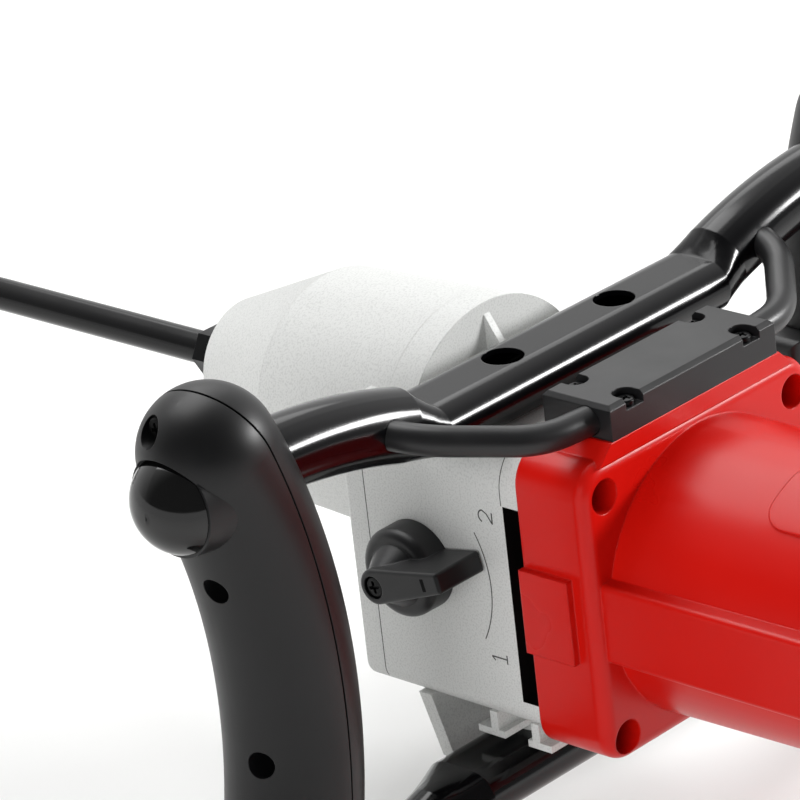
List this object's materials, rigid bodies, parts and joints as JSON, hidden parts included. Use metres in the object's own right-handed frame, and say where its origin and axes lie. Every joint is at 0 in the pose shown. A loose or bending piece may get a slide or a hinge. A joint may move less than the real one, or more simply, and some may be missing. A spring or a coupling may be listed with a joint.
{
  "type": "mixing drill",
  "caption": "Two-handed mixing drill: motor and two-speed gearbox in a bent tube frame with bowed grips, turning a long rod with a helical mixing paddle.",
  "frame": {"origin": "on the spindle axis, in the plane of the gearbox barrel's rear shoulder", "axes": "+Y along the spindle from the motor to the paddle, +X along the frame tubes to the grip with the trigger, +Z square to both, from the motor up to the junction box"},
  "size_m": [0.397, 0.994, 0.2446],
  "materials": {
    "red_housing": "smooth moulded red",
    "cast_aluminium": "fine blasted casting",
    "black_tube": "gloss black enamel",
    "black_rod": "gloss black enamel",
    "grip_plastic": "soft sheen",
    "cap_plastic": "smooth black",
    "box_plastic": "fine grained black",
    "hose_rubber": "smooth black",
    "screw_steel": "blackened",
    "gear_steel": "ground and oiled",
    "bearing_steel": "polished",
    "lamination_iron": "stacked sheet",
    "copper_winding": "varnished copper",
    "brush_brass": "drawn",
    "brush_carbon": "pressed carbon",
    "fan_plastic": "moulded"
  },
  "bodies": {
    "frame": {"armature_bearings": "bearing_steel", "bearing_plate": "cast_aluminium", "brush_caps": "box_plastic", "brush_holders": "brush_brass", "carbon_brushes": "brush_carbon", "clutch_shaft_bearings": "bearing_steel", "cord_gland": "hose_rubber", "field_coils": "copper_winding", "frame_bolts": "screw_steel", "gearbox_cover_screws": "screw_steel", "gearbox_front_cover": "cast_aluminium", "gearbox_housing": "cast_aluminium", "grip_screws": "screw_steel", "junction_box": "box_plastic", "junction_box_screws": "screw_steel", "layshaft_bearings": "bearing_steel", "left_grip_inner": "grip_plastic", "left_grip_outer": "grip_plastic", "left_hose": "hose_rubber", "lower_frame_tube": "black_tube", "motor_housing": "red_housing", "motor_rear_cover": "red_housing", "motor_screws": "screw_steel", "rear_cover_screws": "screw_steel", "right_grip_inner": "grip_plastic", "right_grip_outer": "grip_plastic", "right_hose": "hose_rubber", "shift_rail": "gear_steel", "spindle_bearings": "bearing_steel", "spindle_nose": "cast_aluminium", "spindle_seal": "hose_rubber", "stator_core": "lamination_iron", "switch_body": "fan_plastic", "terminal_block": "fan_plastic", "tube_end_caps": "cap_plastic", "upper_frame_tube": "black_tube"},
    "spindle": {"spindle": "gear_steel", "output_gear": "gear_steel", "paddle_rod": "black_rod", "paddle_top_arms": "black_rod", "paddle_blades": "black_rod", "paddle_ring": "black_rod"},
    "clutch_shaft": {"clutch_shaft": "gear_steel"},
    "shift_sleeve": {"shift_sleeve": "gear_steel"},
    "high_speed_gear": {"high_speed_gear": "gear_steel"},
    "low_speed_gear": {"low_speed_gear": "gear_steel"},
    "layshaft": {"layshaft": "gear_steel", "layshaft_drive_gear": "gear_steel"},
    "armature": {"armature_shaft": "gear_steel", "armature_core": "lamination_iron", "armature_windings": "copper_winding", "commutator": "copper_winding", "cooling_fan": "fan_plastic"},
    "selector": {"selector_knob": "box_plastic", "selector_shaft": "gear_steel", "selector_screw": "screw_steel"},
    "shift_fork": {"shift_fork": "gear_steel"},
    "trigger": {"trigger": "box_plastic"},
    "lock_button": {"lock_button": "box_plastic"}
  },
  "joints": [
    {"name": "motor_spin", "type": "hinge", "parent": "frame", "child": "armature", "pos_m": [0, 0, -0.0305], "axis": [0, 1, 0], "continuous": true},
    {"name": "layshaft_spin", "type": "hinge", "parent": "frame", "child": "layshaft", "pos_m": [0.00544, 0, -0.05233], "axis": [0, 1, 0], "continuous": true},
    {"name": "high_speed_gear_spin", "type": "hinge", "parent": "frame", "child": "high_speed_gear", "pos_m": [-0.0187, 0, -0.04203], "axis": [0, 1, 0], "continuous": true},
    {"name": "low_speed_gear_spin", "type": "hinge", "parent": "frame", "child": "low_speed_gear", "pos_m": [-0.0187, 0, -0.04203], "axis": [0, 1, 0], "continuous": true},
    {"name": "clutch_shaft_spin", "type": "hinge", "parent": "frame", "child": "clutch_shaft", "pos_m": [-0.0187, 0, -0.04203], "axis": [0, 1, 0], "continuous": true},
    {"name": "spindle_spin", "type": "hinge", "parent": "frame", "child": "spindle", "pos_m": [0, 0, 0], "axis": [0, 1, 0], "continuous": true},
    {"name": "selector_turn", "type": "hinge", "parent": "frame", "child": "selector", "pos_m": [-0.056, -0.0096, -0.0275], "axis": [-1, 0, 0], "range_deg": [-53.9, 22.9]},
    {"name": "fork_slide", "type": "slide", "parent": "frame", "child": "shift_fork", "axis": [0, 1, 0], "range_m": [-0.00438, 0.00186]},
    {"name": "sleeve_slide", "type": "slide", "parent": "clutch_shaft", "child": "shift_sleeve", "axis": [0, 1, 0], "range_m": [-0.00438, 0.00186]},
    {"name": "trigger_press", "type": "slide", "parent": "frame", "child": "trigger", "axis": [1, 0, 0], "range_m": [0, 0.006], "stiffness_N_per_m": 1500, "springref_m": -0.002},
    {"name": "lock_press", "type": "slide", "parent": "frame", "child": "lock_button", "axis": [0, 1, 0], "range_m": [0, 0.0025], "stiffness_N_per_m": 1500, "springref_m": -0.001}
  ],
  "couplings": [
    {"joint": "layshaft_spin", "follows": "motor_spin", "ratio": -0.18421},
    {"joint": "high_speed_gear_spin", "follows": "motor_spin", "ratio": 0.13816},
    {"joint": "clutch_shaft_spin", "follows": "motor_spin", "ratio": 0.13816},
    {"joint": "low_speed_gear_spin", "follows": "motor_spin", "ratio": 0.092105},
    {"joint": "spindle_spin", "follows": "motor_spin", "ratio": -0.038377},
    {"joint": "fork_slide", "follows": "selector_turn", "m_per_rad": 0.00465},
    {"joint": "sleeve_slide", "follows": "selector_turn", "m_per_rad": 0.00465}
  ]
}
